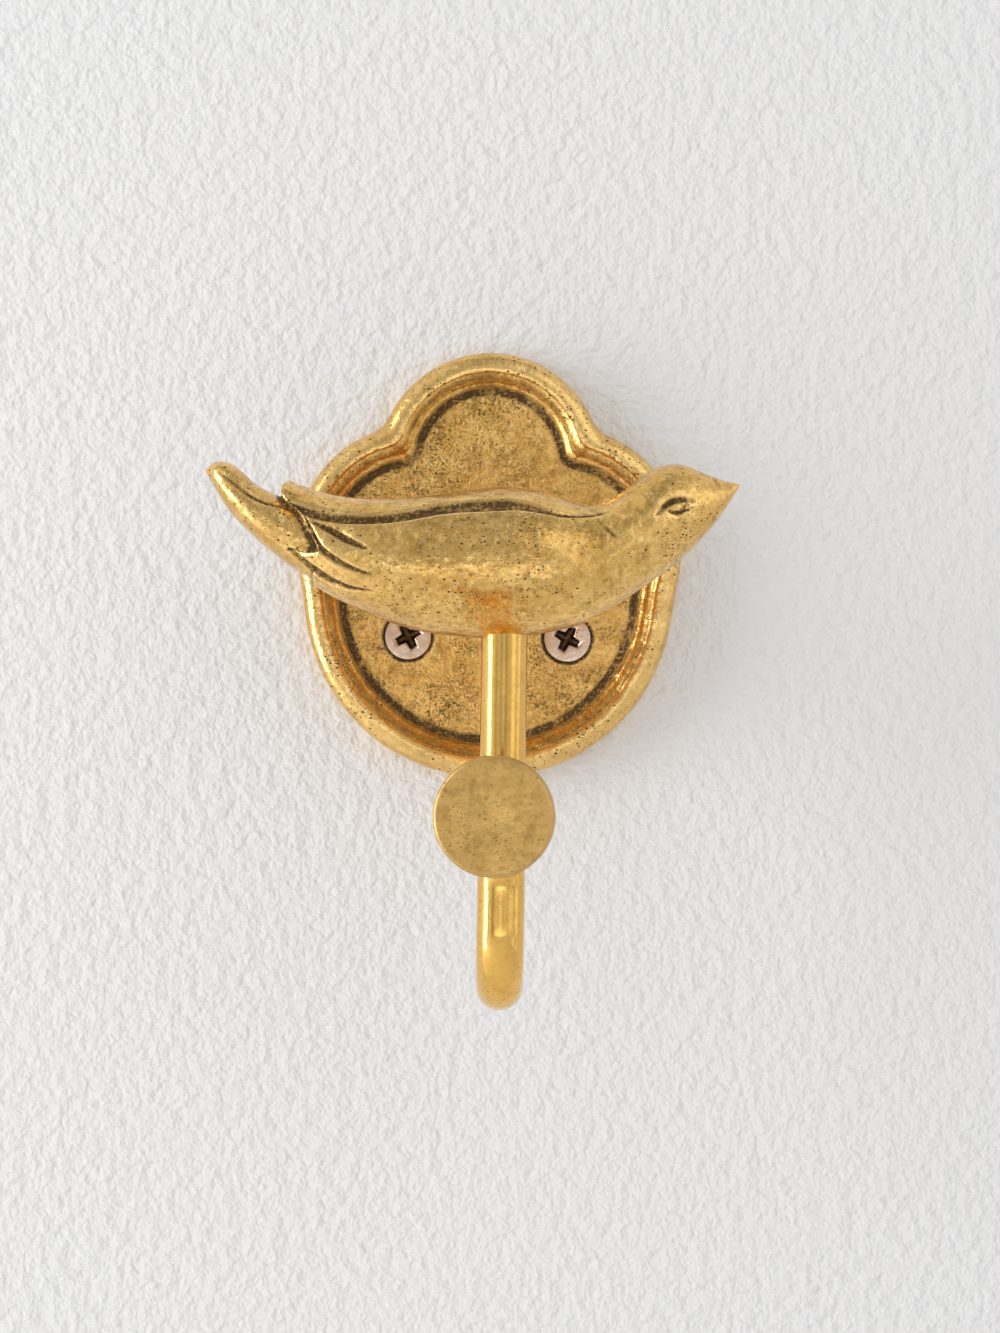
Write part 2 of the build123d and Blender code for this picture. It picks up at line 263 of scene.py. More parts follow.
def relaxed(obj, points, rounds):
    """Points after some rounds of moving halfway to the mean of their neighbours."""
    edges = np.empty(len(obj.data.edges) * 2, np.int32)
    obj.data.edges.foreach_get("vertices", edges)
    a, b = edges.reshape(-1, 2).T
    count = np.bincount(np.concatenate((a, b)), minlength=len(points))[:, None]
    out = points.copy()
    for _ in range(rounds):
        total = np.zeros_like(out)
        np.add.at(total, a, out[b])
        np.add.at(total, b, out[a])
        out = (out + total / count) / 2
    return out


def store(obj, name, values):
    """Keeps one value per vertex for the materials."""
    layer = obj.data.attributes.new(name, "FLOAT", "POINT")
    layer.data.foreach_set("value", values.astype(np.float32))


def mark_wear(obj, rounds=24, scale=0.12, extra=0.0):
    """Stores how hollow and how proud each point is, for the patina and the worn edges. The extra mask joins
    the hollows: the bird's carved lines, the plate's rim and countersinks, and painted shade on the bird's
    tail and the hook bar.
    """
    points = points_of(obj)
    hollow = np.einsum("ij,ij->i", relaxed(obj, points, rounds) - points, normals_of(obj)) / scale
    store(obj, "hollow", np.maximum(np.clip(hollow, 0, 1), extra))
    store(obj, "proud", np.clip(-hollow, 0, 1))


def roughen(points, size, octaves, seed):
    """Fractal noise from about -1 to 1 at each point."""
    shift = Vector((seed * 17.0, seed * 5.0, seed * 11.0))
    return np.array([noise.fractal(Vector(p) / size + shift, 1.0, 2.0, octaves) for p in points])


def ripple(obj, depth, **grain):
    """Moves an object's points in and out by noise, and gives their new places."""
    points = points_of(obj)
    points += normals_of(obj) * (depth * roughen(points, **grain))[:, None]
    move_to(obj, points)
    return points


def ramp(values, start, width):
    """Rises from 0 at a start to 1 over a width."""
    return np.clip((values - start) / width, 0, 1)


def hump(values, middle, width):
    """Bell curve with its top of 1 in the middle."""
    return np.exp(-(((values - middle) / width) ** 2))


def circle(sides):
    """Angles all the way round."""
    return np.linspace(0, 2 * pi, sides, endpoint=False)


def quarter(steps):
    """Angles up to a right angle, without the first."""
    return np.linspace(0, pi / 2, steps)[1:]


def curve(points):
    """Natural cubic spline through points, as a function of the first coordinate."""
    x, y = np.array(points).T
    h = np.diff(x)
    n = len(x)
    factors, slopes = np.zeros((n, n)), np.zeros(n)
    factors[0, 0] = factors[-1, -1] = 1
    for i in range(1, n - 1):
        factors[i, i - 1:i + 2] = h[i - 1], 2 * (h[i - 1] + h[i]), h[i]
        slopes[i] = 6 * ((y[i + 1] - y[i]) / h[i] - (y[i] - y[i - 1]) / h[i - 1])
    bend = np.linalg.solve(factors, slopes)

    def at(t):
        i = np.clip(np.searchsorted(x, t) - 1, 0, n - 2)
        u, v = x[i + 1] - t, t - x[i]
        return (
            (bend[i] * u**3 + bend[i + 1] * v**3) / (6 * h[i])
            + (y[i] / h[i] - bend[i] * h[i] / 6) * u
            + (y[i + 1] / h[i] - bend[i + 1] * h[i] / 6) * v
        )

    return at


def outward(obj):
    """Turns all faces of a closed mesh outward."""
    sides = bmesh.new()
    sides.from_mesh(obj.data)
    bmesh.ops.recalc_face_normals(sides, faces=sides.faces)
    sides.to_mesh(obj.data)
    sides.free()


def tube(name, rings):
    """Closed tube through rings of points, each with as many points, with both ends capped."""
    sides = len(rings[0])
    faces = []
    for r in range(len(rings) - 1):
        for s in range(sides):
            t = (s + 1) % sides
            faces.append((r * sides + s, r * sides + t, (r + 1) * sides + t, (r + 1) * sides + s))
    faces.append(tuple(reversed(range(sides))))
    last = (len(rings) - 1) * sides
    faces.append(tuple(range(last, last + sides)))
    obj = mesh_object(name, [p for ring in rings for p in ring], faces)
    outward(obj)
    return obj


def bird_loft(name, rails, span, rings=180, sides=96, least=0.05):
    """Closed loft of upright ovals between the rails of back, belly and flank."""
    back, belly, flank = [curve(points) for points in rails]
    loops = []
    for x in np.linspace(*span, rings):
        top, bottom, reach = back(x), belly(x), max(flank(x), least)
        middle, rise = (top + bottom) / 2, max((top - bottom) / 2, least)
        loops.append([(x, -bird_depth - reach * cos(a), middle + rise * sin(a)) for a in circle(sides)])
    return tube(name, loops)


def feather_cutter(far=-90.0, under=-40.0, over=60.0, half=20.0):
    """Block behind the rear edge of the feathers, larger than the bird on its other sides."""
    outline = [*feather_edge, (feather_foot, under), (far, under), (far, over), (feather_edge[0][0], over)]
    return tube("bird_cutter", [[(x, -bird_depth + side, z) for x, z in outline] for side in (-half, half)])


def joined(name, first, second):
    """One object from two, which are removed."""
    shift = len(first.data.vertices)
    faces = [tuple(f.vertices) for f in first.data.polygons]
    faces += [tuple(v + shift for v in f.vertices) for f in second.data.polygons]
    both = mesh_object(name, np.concatenate((points_of(first), points_of(second))), faces)
    bpy.data.objects.remove(first)
    bpy.data.objects.remove(second)
    return both


def carve(points, line, per_point=14):
    """Depth that one carved line takes off each point, from its distance in the XZ plane."""
    corners = np.array(line)
    run = np.concatenate(([0], np.cumsum(np.linalg.norm(np.diff(corners[:, :2], axis=0), axis=1))))
    across, up = curve(np.c_[run, corners[:, 0]]), curve(np.c_[run, corners[:, 1]])
    best, place = np.full(len(points), np.inf), np.zeros(len(points))
    for t in np.linspace(0, run[-1], per_point * len(line)):
        d = np.hypot(points[:, 0] - across(t), points[:, 2] - up(t))
        nearer = d < best
        best[nearer], place[nearer] = d[nearer], t
    width, depth = np.interp(place, run, corners[:, 2]), np.interp(place, run, corners[:, 3])
    return depth * np.exp(-((best / width) ** 4))


def make_bird(cut_patina=1.8, cut_sand=0.9, wave_depth=0.11, grain_depth=0.05):
    """Cast bird: wings cut to the feathers' edge, a tail under them, carved lines, eyes and an uneven skin."""
    wings = bird_loft("bird_wings", (back_rail, belly_rail, flank_rail), wing_span)
    cut_away(wings, feather_cutter())
    tail = bird_loft("bird_tail", (tail_back_rail, tail_belly_rail, tail_flank_rail), tail_span)
    bird = joined("bird_casting", wings, tail)
    apply(bird, "REMESH", mode="VOXEL", voxel_size=bird_voxel)
    apply(bird, "SMOOTH", factor=0.5, iterations=5)

    points, normals = points_of(bird), normals_of(bird)
    sideways = np.abs(normals[:, 1])
    facing, flank = ramp(sideways, start=0.15, width=0.3), ramp(sideways, start=0.03, width=0.12)
    cut = np.max([carve(points, line) for line in carved_lines], axis=0)
    away = np.hypot(points[:, 0] - eye_place[0], points[:, 2] - eye_place[1])
    eyes = eye_rise * np.sqrt(np.clip(1 - (away / eye_radius) ** 2, 0, 1))
    waves = wave_depth * roughen(points, size=5.0, octaves=3, seed=1)
    grain = grain_depth * roughen(points, size=1.3, octaves=3, seed=2)
    points += normals * (facing * (eyes - cut) + (waves + grain))[:, None]
    move_to(bird, points)

    # Patina in the carved lines, and painted shade on the tail beside the feathers' edge, both stored with the
    # hollows
    shade = [(x + shade_shift[0], z + shade_shift[1], shade_width, shade_strength) for x, z in shaded_edge]
    patina_and_shade = np.maximum(cut_patina * cut, carve(points, shade)) * flank * (1 - hump(away, 0.0, eye_clean))
    mark_wear(bird, extra=np.clip(patina_and_shade, 0, 1))
    store(bird, "sand", np.clip(cut_sand * cut * facing, 0, 1))
    return bird


def plate_inset(points):
    """Distance in from the plate's edge, and the direction that it grows in."""
    best, toward = None, None
    for x, z, radius in plate_rounds:
        to_centre = np.array((x, z)) - points[:, (0, 2)]
        away = np.linalg.norm(to_centre, axis=1) + tiny
        inset, unit = radius - away, to_centre / away[:, None]
        if best is None:
            best, toward = inset, unit
            continue
        share = np.clip(0.5 + 0.5 * (inset - best) / notch_softness, 0, 1)
        best = best + (inset - best) * share + notch_softness * share * (1 - share)
        toward = toward + (unit - toward) * share[:, None]
    return best, toward / np.linalg.norm(toward, axis=1)[:, None]


def make_plate(front_margin=0.25, side_margin=0.4, sink_margin=0.5):
    """Plate from the CAD one, with a round rim, a fall from it to the field, and an uneven skin."""
    plate = cad_copy("backplate_casting", "backplate")
    apply(plate, "REMESH", mode="VOXEL", voxel_size=plate_voxel)
    points = points_of(plate)
    inset, toward = plate_inset(points)
    height = -points[:, 1]

    round_foot = rim_depth - rim_round
    corner = (inset < rim_round) & (height > round_foot)
    reach = np.hypot(inset - rim_round, height - round_foot) + tiny
    pull = np.where(corner, rim_round / reach - 1, 0)
    points[:, (0, 2)] += toward * ((inset - rim_round) * pull)[:, None]
    points[:, 1] -= (height - round_foot) * pull

    fall = curve(rim_fall)
    front = (inset >= rim_round) & (height > field_depth - front_margin)
    points[front, 1] = -fall(inset[front]) - (rim_depth - rim_fall[0][1])
    sandy = ramp(inset, rim_foot - sand_start, sand_blend)
    grain = (rim_grain + sand_grain * sandy) * roughen(points, size=0.9, octaves=4, seed=3)
    waves = plate_waves * roughen(points, size=6.0, octaves=2, seed=4)
    points[front, 1] -= (grain + waves)[front]
    outer = corner | ((inset < rim_round) & (height > side_margin))
    waves = plate_waves * roughen(points, size=5.0, octaves=3, seed=5)
    points[:, (0, 2)] -= toward * (waves * outer)[:, None]
    move_to(plate, points)
    apply(plate, "SMOOTH", factor=0.5, iterations=2)

    foot = hump(inset, rim_foot + foot_shift, foot_width) * front
    bead = bead_strength * hump(inset, rim_bead, bead_width) * front
    # Darker all round in the countersinks of the wall screws
    near = np.min([np.hypot(points[:, 0] - x, points[:, 2] - z) for x, z in screw_places], axis=0)
    sink = ramp(sink_reach - near, 0.0, sink_blend) * (height > sink_margin)
    mark_wear(plate, extra=np.max((foot, bead, sink), axis=0))
    store(plate, "sand", sandy * front)
    return plate


def bar_route(low, high, bend_steps=60, lip_steps=8, flare_steps=30):
    """Centre points of the hook bar and their directions in the YZ plane, from belly to disc."""
    radius = (high.x - low.x) / 2 / mm
    shank, bottom, top = high.y / mm - radius, low.z / mm + radius, high.z / mm
    throat = bottom + throat_radius
    lip = shank - 2 * throat_radius
    disc_low, disc_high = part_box("end_disc")
    disc_height = (disc_low.z + disc_high.z) / 2 / mm
    lip_top = disc_height - flare_radius
    route = [((shank, z), (0, -1)) for z in np.linspace(top, throat, bend_steps)]
    for turn in np.linspace(0, pi, bend_steps)[1:]:
        place = (shank - throat_radius + throat_radius * cos(turn), throat - throat_radius * sin(turn))
        route.append((place, (-sin(turn), -cos(turn))))
    route += [((lip, z), (0, 1)) for z in np.linspace(throat, lip_top, lip_steps)[1:]]
    for turn in quarter(flare_steps):
        place = (lip - flare_radius * (1 - cos(turn)), lip_top + flare_radius * sin(turn))
        route.append((place, (-sin(turn), cos(turn))))
    route.append(((low.y / mm, disc_height), (-1, 0)))
    return route, radius


def make_bar(sides=64):
    """Round bar along its route, with painted shade on its top where it leaves the belly."""
    low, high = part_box("hook_rod")
    route, radius = bar_route(low, high)
    middle = (low.x + high.x) / 2 / mm
    loops = []
    for (y, z), (dy, dz) in route:
        ring = []
        for a in circle(sides):
            side, out = radius * cos(a), radius * sin(a)
            ring.append((middle + side, y - dz * out, z + dy * out))
        loops.append(ring)
    bar = tube("hook_bar", loops)
    height = ripple(bar, depth=0.04, size=14.0, octaves=2, seed=6)[:, 2]
    # Painted shade: the top of the bar, under the bird's belly, goes dark with the hollows
    stain = ramp(height - height.max() + belly_shade, 0.0, belly_shade_blend)
    mark_wear(bar, rounds=4, scale=0.3, extra=stain)
    return bar


def make_disc(sides=160, edge=0.8, core=0.3, socket=3.6, front_limit=-0.95):
    """Turned disc with softened edges, on the CAD disc's own axis."""
    cad_disc = nodes["end_disc"]
    facing, centre, total = Vector(), Vector(), 0.0
    for face in cad_disc.data.polygons:
        if face.normal.y < front_limit:
            facing += face.normal * face.area
            centre += face.center * face.area
            total += face.area
    axis, centre = facing.normalized(), centre / total / mm
    cad_points = [Vector(p) for p in points_of(cad_disc)]
    along = [(p - centre).dot(axis) for p in cad_points]
    thickness = max(along) - min(along)
    centre += axis * max(along)
    across = axis.orthogonal().normalized()
    up = axis.cross(across)
    radius = max(((p - centre) - axis * (p - centre).dot(axis)).length for p in cad_points)

    flat, rear = radius - edge, thickness - edge
    turns = quarter(9)
    profile = [(r, 0.0) for r in np.linspace(core, flat, 24)]
    profile += [(flat + edge * sin(t), edge * (1 - cos(t))) for t in turns]
    profile += [(radius, depth) for depth in np.linspace(edge, rear, 5)[1:]]
    profile += [(flat + edge * cos(t), rear + edge * sin(t)) for t in turns]
    profile += [(r, thickness) for r in np.linspace(flat, socket, 10)[1:]]
    loops = [
        [tuple(centre - axis * depth + across * (r * cos(a)) + up * (r * sin(a))) for a in circle(sides)]
        for r, depth in profile
    ]
    disc = tube("hook_disc", loops)
    ripple(disc, depth=0.04, size=4.0, octaves=3, seed=7)
    mark_wear(disc, rounds=8, scale=0.05)
    return disc


def make_recess(name, place, top, turn):
    """Solid in the form of a screw's cross recess."""
    loops = []
    for depth, reach, wall in recess_levels:
        fill = wall * recess_fill
        loop = []
        for side in range(4):
            a = radians(turn) + side * pi / 2
            for along, aside in ((fill, -fill), (reach, -wall), (reach, wall)):
                x, z = cos(a) * along - sin(a) * aside, sin(a) * along + cos(a) * aside
                loop.append((place[0] + x, top + depth, place[1] + z))
        loops.append(loop)
    return tube(name, loops)


def make_screw(name, place, turn, sides=48, core=0.2, thread_run_in=0.15):
    """Countersunk screw with a rounded edge, a thread on its shank and a tapered cross recess."""
    top, length = screw_low.y, screw_high.y - screw_low.y
    flat, cone_end = screw_head - screw_edge, screw_edge_depth + screw_head - screw_neck
    thread_start, point_start = thread_place - top, length - screw_point
    angles = circle(sides)

    def ring(depth, radii):
        return [(place[0] + r * cos(a), top + depth, place[1] + r * sin(a)) for r, a in zip(radii, angles)]

    profile = [(r, 0.0) for r in np.linspace(core, flat, 8)]
    profile += [(flat + screw_edge * sin(t), screw_edge_depth * (1 - cos(t))) for t in quarter(5)]
    profile += [(screw_head, screw_edge_depth), (screw_neck, cone_end), (screw_shank, thread_start)]
    loops = [ring(depth, [r] * sides) for r, depth in profile]
    for depth in np.arange(thread_start + thread_run_in, length, thread_pitch / thread_rings):
        taper = np.clip((length - depth) / (length - point_start), screw_point_share, 1)
        phase = (depth / thread_pitch + angles / (2 * pi)) % 1
        ridge = np.clip(1 - abs(phase - 0.5) / thread_width, 0, 1)
        loops.append(ring(depth, taper * (screw_root + (screw_shank - screw_root) * ridge)))
    screw = tube(name, loops)
    cut_away(screw, make_recess(name + "_recess", place, top, turn))

    points = points_of(screw)
    away = np.hypot(points[:, 0] - place[0], points[:, 2] - place[1])
    in_recess = away < recess_levels[0][1]
    store(screw, "hollow", ramp(points[:, 1] - top, start=0.08, width=0.5) * in_recess)
    return screw


def make_post(sides=64, edge=0.3, bore=2.1, bore_depth=13.0, core=0.1, stain=1.5):
    """Round post with softened edges and a blind bore, in the CAD post's own place."""
    low, high = [Vector(corner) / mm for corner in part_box("post")]
    x, z, radius = (low.x + high.x) / 2, (low.z + high.z) / 2, (high.x - low.x) / 2
    bore_end = high.y - bore_depth
    profile = (
        (bore_end, core), (bore_end, bore), (high.y, bore), (high.y, radius - edge),
        (high.y - edge, radius), (low.y + edge, radius), (low.y, radius - edge), (low.y, core),
    )
    post = tube("post_bar", [[(x + r * cos(a), y, z + r * sin(a)) for a in circle(sides)] for y, r in profile])
    points = points_of(post)
    store(post, "hollow", np.clip(1 - np.abs(points[:, 1] + field_depth) / stain, 0, 1))
    store(post, "proud", np.zeros(len(points)))
    return post


class Nodes:
    """Short way to build the nodes of a material or a world."""

    def __init__(self, owner):
        owner.use_nodes = True
        self.tree = owner.node_tree
        self.tree.nodes.clear()

    def add(self, kind, links=(), **settings):
        """New node. Each input takes another node's output or a constant."""
        node = self.tree.nodes.new(kind)
        for key, value in settings.items():
            setattr(node, key, value)
        for socket, source in dict(links).items():
            if isinstance(source, bpy.types.NodeSocket):
                self.tree.links.new(source, node.inputs[socket])
            else:
                node.inputs[socket].default_value = source
        return node

    def place(self, stretch):
        """Place on the object, with its axes scaled."""
        place = self.add("ShaderNodeTexCoord").outputs["Object"]
        return self.add("ShaderNodeVectorMath", {0: place, 1: stretch}, operation="MULTIPLY").outputs[0]

    def noise(self, scale, detail=4.0, roughness=0.55, stretch=(1.0, 1.0, 1.0)):
        """Noise with a scale per metre, from 0 to 1 and mostly near a half."""
        links = {"Vector": self.place(stretch), "Scale": scale, "Detail": detail, "Roughness": roughness}
        return self.add("ShaderNodeTexNoise", links).outputs["Fac"]

    def dots(self, scale, share):
        """Round dots in some of the cells of a grid, in more of them where the share is higher."""
        place = self.place((0.7, 1.0, 1.0))
        cells = self.add("ShaderNodeTexVoronoi", {"Vector": place, "Scale": scale}).outputs
        pick = self.add("ShaderNodeSeparateColor", {0: cells["Color"]}).outputs
        size = self.spread(pick[1], 0.0, 1.0, 0.12, 0.36)
        dot = self.spread(self.math("SUBTRACT", size, cells["Distance"]), 0.0, 0.1)
        return self.math("MULTIPLY", dot, self.math("LESS_THAN", pick[0], share))

    def spread(self, value, low, high, to_low=0.0, to_high=1.0):
        """Value moved from one range to another, and held at its ends."""
        links = {"Value": value, "From Min": low, "From Max": high, "To Min": to_low, "To Max": to_high}
        return self.add("ShaderNodeMapRange", links).outputs["Result"]

    def mix(self, share, first, second):
        """Mix of two colours."""
        return self.add("ShaderNodeMix", {0: share, 6: first, 7: second}, data_type="RGBA").outputs[2]

    def mix_value(self, share, first, second):
        """Mix of two plain values."""
        return self.add("ShaderNodeMix", {0: share, 2: first, 3: second}).outputs[0]

    def math(self, operation, first, *others):
        """Operation on two values, or on several in turn."""
        for other in others:
            first = self.add("ShaderNodeMath", {0: first, 1: other}, operation=operation).outputs[0]
        return first

    def absolute(self, value):
        return self.add("ShaderNodeMath", {0: value}, operation="ABSOLUTE").outputs[0]

    def attribute(self, name):
        return self.add("ShaderNodeAttribute", attribute_name=name).outputs["Fac"]

    def bump(self, height, strength, distance, **normal):
        """Normal tilted by a height, on top of another bump's Normal where one is given."""
        links = {"Height": height, "Strength": strength, "Distance": distance, **normal}
        return self.add("ShaderNodeBump", links).outputs["Normal"]

    def surface(self, links):
        """Principled shader."""
        return self.add("ShaderNodeBsdfPrincipled", links).outputs[0]

    def show(self, shader):
        self.add("ShaderNodeOutputMaterial", {"Surface": shader})


def aged_brass(name, gold, amber, dark, rough, grain, pits, mottle):
    """Brass with amber staining, dark patina in hollows and pores, painted shade that some pieces store with
    their hollows, and brighter worn edges.
    """
    material = bpy.data.materials.new(name)
    n = Nodes(material)
    sand, hollow, proud = n.attribute("sand"), n.attribute("hollow"), n.attribute("proud")
    brown = (amber[0] * 0.42, amber[1] * 0.40, amber[2] * 0.40, 1)
    worn = (min(gold[0] * 1.05, 1.0), gold[1] * 1.12, gold[2] * 1.4, 1)

    # Metal: broad stains, then smaller ones, flecks, streaks and worn edges
    colour = n.mix(n.spread(n.noise(110.0, 5.0, 0.65), 0.40, 0.66, 0.0, 1.1 * mottle), gold, amber)
    colour = n.mix(n.spread(n.noise(420.0, 5.0, 0.75), 0.50, 0.66, 0.0, mottle), colour, brown)
    flecks = n.noise(1000.0, 3.0, 0.7)
    colour = n.mix(n.spread(flecks, 0.38, 0.52, 0.8 * mottle, 0.0), colour, amber)
    colour = n.mix(n.spread(flecks, 0.55, 0.68, 0.0, mottle), colour, worn)
    streak = n.noise(650.0, 4.0, 0.6, stretch=(0.22, 1.0, 1.0))
    colour = n.mix(n.spread(streak, 0.45, 0.70, 0.0, 0.65 * mottle), colour, amber)
    colour = n.mix(n.math("MULTIPLY", proud, 0.45), colour, worn)

    # Soil and painted shade: pores in patches, sand in the field, and darkening in the hollows, mostly patina,
    # with painted shade on some pieces
    patch = n.spread(n.noise(75.0, 4.0, 0.6), 0.45, 0.62, 0.04, 0.95)
    pores = n.math("MULTIPLY", n.math("MAXIMUM", n.dots(1500.0, patch), n.dots(2600.0, patch)), pits)
    grit = n.noise(2100.0, 3.0, 0.65)
    cloud = n.math("MULTIPLY", sand, n.spread(n.noise(150.0, 5.0, 0.75), 0.42, 0.62, 0.1, 1.0))
    sandy = n.math("MULTIPLY", n.spread(grit, 0.46, 0.62), cloud)
    clumps = n.spread(n.noise(230.0, 4.0, 0.7), 0.32, 0.54, 0.45, 1.0)
    crumbs = n.spread(n.noise(1700.0, 3.0, 0.7), 0.44, 0.62, 1.0, 0.5)
    deep = n.math("MULTIPLY", clumps, crumbs, hollow)
    soil_and_shade = n.math("MAXIMUM", n.spread(deep, 0.08, 0.7), pores, sandy)

    bump = n.bump(n.noise(650.0, 4.0, 0.65), strength=grain, distance=0.3 * mm)
    bump = n.bump(n.noise(300.0, 2.0, 0.5), strength=grain * 0.7, distance=0.6 * mm, Normal=bump)
    bump = n.bump(n.math("MULTIPLY", grit, sand), strength=0.6, distance=0.5 * mm, Normal=bump)
    polish = n.spread(n.noise(210.0, 3.0), 0.3, 0.7, rough * 0.65, rough * 1.35)
    dulled = n.math("MULTIPLY", n.math("MAXIMUM", soil_and_shade, sand), 0.18)
    shader = n.surface(
        {
            "Base Color": n.mix(soil_and_shade, colour, dark),
            "Metallic": n.spread(soil_and_shade, 0.0, 1.0, 1.0, 0.15),
            "Roughness": n.math("ADD", polish, dulled),
            "Specular IOR Level": 0.15,
            "Normal": bump,
        }
    )
    n.show(shader)
    return material


def screw_metal():
    """Dull pinkish plating with stains, dark in the recess."""
    material = bpy.data.materials.new("screw_metal")
    n = Nodes(material)
    stain = n.spread(n.noise(420.0, 4.0, 0.6), 0.4, 0.7)
    pink, tan, dark = (0.80, 0.615, 0.49, 1), (0.62, 0.43, 0.31, 1), (0.10, 0.06, 0.03, 1)
    plating = n.mix(stain, pink, tan)
    shader = n.surface(
        {
            "Base Color": n.mix(n.attribute("hollow"), plating, dark),
            "Metallic": 1.0,
            "Roughness": n.spread(stain, 0.0, 1.0, 0.26, 0.40),
            "Normal": n.bump(n.noise(2200.0, 3.0), strength=0.15, distance=0.2 * mm),
        }
    )
    n.show(shader)
    return material


def plaster(name, one_sided):
    """Uneven white paint. Its bump is left out of bounced light, where it would only cost time."""
    material = bpy.data.materials.new(name)
    n = Nodes(material)
    coarse, fine = n.noise(360.0, 2.0, 0.5), n.noise(800.0, 2.0, 0.5)
    height = n.math("ADD", coarse, n.math("MULTIPLY", fine, 0.5))
    bump = n.bump(height, strength=0.52, distance=1.6 * mm)
    coat = {"Base Color": (0.86, 0.855, 0.855, 1), "Roughness": 0.9}
    seen = n.add("ShaderNodeLightPath").outputs["Is Camera Ray"]
    plain, uneven = n.surface(coat), n.surface({**coat, "Normal": bump})
    paint = n.add("ShaderNodeMixShader", {0: seen, 1: plain, 2: uneven}).outputs[0]
    if one_sided:
        clear = n.add("ShaderNodeBsdfTransparent").outputs[0]
        back = n.add("ShaderNodeNewGeometry").outputs["Backfacing"]
        paint = n.add("ShaderNodeMixShader", {0: back, 1: paint, 2: clear}).outputs[0]
    n.show(paint)
    return material


cast_brass = aged_brass(
    "cast_brass",
    gold=(0.95, 0.62, 0.21, 1),
    amber=(0.66, 0.37, 0.085, 1),
    dark=(0.095, 0.052, 0.018, 1),
    rough=0.20,
    grain=0.5,
    pits=1.0,
    mottle=0.8,
)
bar_brass = aged_brass(
    "bar_brass",
    gold=(0.90, 0.55, 0.145, 1),
    amber=(0.60, 0.30, 0.05, 1),
    dark=(0.10, 0.06, 0.02, 1),
    rough=0.12,
    grain=0.008,
    pits=0.3,
    mottle=0.2,
)
disc_brass = aged_brass(
    "disc_brass",
    gold=(0.66, 0.415, 0.135, 1),
    amber=(0.48, 0.28, 0.075, 1),
    dark=(0.16, 0.09, 0.025, 1),
    rough=0.40,
    grain=0.35,
    pits=0.5,
    mottle=0.45,
)
screws = screw_metal()

settle(make_bird(), "cast_brass", cast_brass, "bird")
settle(make_plate(), "cast_brass", cast_brass, "backplate")
settle(make_bar(), "bar_brass", bar_brass, "hook_rod")
settle(make_disc(), "bar_brass", disc_brass, "end_disc")
settle(make_post(), "bar_brass", bar_brass, "post")
for side, place, turn in zip(("left", "right"), screw_places, screw_turns):
    settle(make_screw("wall_screw_" + side, place, turn), "screw_metal", screws, "mounting_screws")
nodes["post_screw"].data.materials.clear()
nodes["post_screw"].data.materials.append(screws)

# Stage, in millimetres: a plastered wall behind the plate, seen only from the front and open behind the
# plate itself, and a floor well below
wall_gap = 0.05
wall_edge = 900.0
floor_height = -420.0
floor_front = -1500.0


def card(name, corners, faces, material):
    """Flat object of the stage."""
    obj = mesh_object(name, corners, faces)
    obj.data.materials.append(material)


def wall_rings(middle=(0.0, 5.0), inset=0.6, count=120):
    """Points round the opening behind the plate, and on the wall's own edge in the same directions."""
    left, right, low, high = -wall_edge, wall_edge, floor_height, wall_edge
    corners = [atan2(z - middle[1], x - middle[0]) % (2 * pi) for x in (left, right) for z in (low, high)]
    inner, outer = [], []
    for a in sorted([*circle(count), *corners]):
        way = np.array((cos(a), sin(a)))
        reach = 0.0
        for x, z, radius in plate_rounds:
            offset = np.array((x, z)) - middle
            along = way @ offset
            rest = radius**2 - offset @ offset + along**2
            if rest > 0:
                reach = max(reach, along + rest**0.5)
        edge = min(
            abs(((right if way[0] > 0 else left) - middle[0]) / (way[0] or tiny)),
            abs(((high if way[1] > 0 else low) - middle[1]) / (way[1] or tiny)),
        )
        for ring, length in ((inner, reach - inset), (outer, edge)):
            ring.append((middle[0] + way[0] * length, wall_gap, middle[1] + way[1] * length))
    return inner, outer


def build_wall():
    inner, outer = wall_rings()
    count = len(inner)
    faces = [(i + count, (i + 1) % count + count, (i + 1) % count, i) for i in range(count)]
    card("wall", inner + outer, faces, plaster("wall_plaster", one_sided=True))


def build_floor():
    plan = (
        (-wall_edge, floor_front), (wall_edge, floor_front), (wall_edge, wall_edge), (-wall_edge, wall_edge),
    )
    corners = [(x, y, floor_height) for x, y in plan]
    card("floor", corners, [(0, 1, 2, 3)], plaster("floor_plaster", one_sided=False))


def softbox(name, place, target, width, height, power):
    """Rectangular lamp that faces a target."""
    lamp = bpy.data.lights.new(name, "AREA")
    lamp.shape = "RECTANGLE"
    lamp.size, lamp.size_y, lamp.energy = width, height, power
    obj = link(bpy.data.objects.new(name, lamp))
    obj.location = place
    obj.rotation_euler = (Vector(target) - Vector(place)).to_track_quat("-Z", "Z").to_euler()


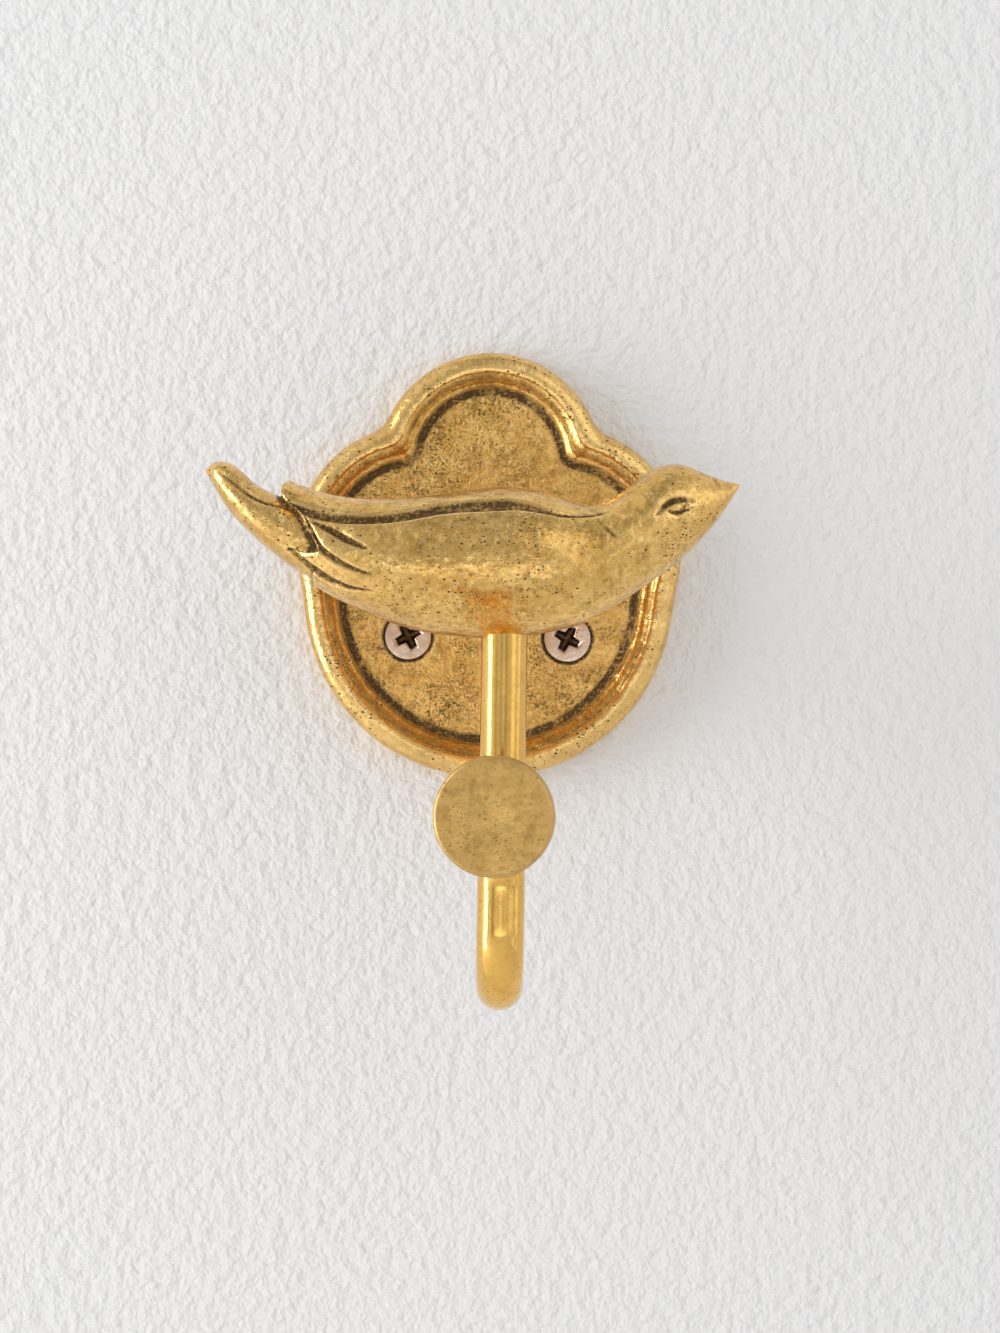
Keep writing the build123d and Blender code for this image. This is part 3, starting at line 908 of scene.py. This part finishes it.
def build_world(backdrop=0.93, ambient=0.70):
    """Even light all round, and a room with a pale patch that only the metal mirrors."""
    world = bpy.data.worlds.new("studio")
    bpy.context.scene.world = world
    sky = Nodes(world)
    ray = sky.add("ShaderNodeLightPath").outputs
    toward = sky.add("ShaderNodeTexCoord").outputs["Generated"]
    way = sky.add("ShaderNodeSeparateXYZ", {0: toward}).outputs

    # Room: dimmer behind the camera and overhead, with soft clouds
    sides = sky.spread(way["Y"], -0.97, -0.45, 0.58, 0.97)
    upper = sky.spread(way["Z"], 0.4, 0.85, 1.0, 0.8)
    overhead = sky.spread(way["Z"], 0.85, 1.0, 1.0, 0.5)
    cloudy = sky.add("ShaderNodeTexNoise", {"Vector": toward, "Scale": 3.2, "Detail": 2.0}).outputs["Fac"]
    room = sky.math("MULTIPLY", sides, upper, overhead, sky.spread(cloudy, 0.36, 0.64, 0.62, 1.18))

    # Pale patch: in front of the hook and a little below it
    patch_height = sky.spread(sky.absolute(sky.math("ADD", way["Z"], 0.22)), 0.0, 0.22, 1.6, 0.0)
    patch_width = sky.spread(sky.absolute(way["X"]), 0.1, 0.6, 1.0, 0.0)
    patch_front = sky.spread(way["Y"], -0.6, -0.3, 1.0, 0.0)
    patch = sky.math("MULTIPLY", patch_height, patch_width, patch_front)

    seen = sky.math("MAXIMUM", ray["Is Camera Ray"], ray["Is Transmission Ray"])
    level = sky.mix_value(ray["Is Glossy Ray"], ambient, sky.math("ADD", room, patch))
    level = sky.mix_value(seen, level, backdrop)
    light = sky.add("ShaderNodeBackground", {"Color": (1, 1, 1, 1), "Strength": level})
    sky.add("ShaderNodeOutputWorld", {0: light.outputs[0]})


def aim_camera(place=(2.3, -750.0, -14.5), lens=148.5, sensor=36.0, roll=radians(0.85)):
    """Camera where the photograph was taken from, square to the wall and turned a little in its own plane."""
    camera = bpy.data.cameras.new("camera")
    camera.sensor_fit = "HORIZONTAL"
    camera.sensor_width = sensor
    camera.lens = lens
    eye = link(bpy.data.objects.new("camera", camera))
    right, up = Vector((cos(roll), 0, sin(roll))), Vector((-sin(roll), 0, cos(roll)))
    turn = Matrix((right, up, right.cross(up))).transposed().to_4x4()
    eye.matrix_world = Matrix.Translation(Vector(place) * mm) @ turn
    bpy.context.scene.camera = eye


build_wall()
build_floor()
softbox("key", (-1.10, -0.36, 0.02), (0, -0.03, 0), width=1.15, height=0.40, power=7.9)
softbox("fill", (1.05, -1.05, 0.75), (0, 0, 0), width=1.6, height=1.4, power=2.6)
build_world()
aim_camera()
bpy.context.scene.view_settings.view_transform = "Standard"
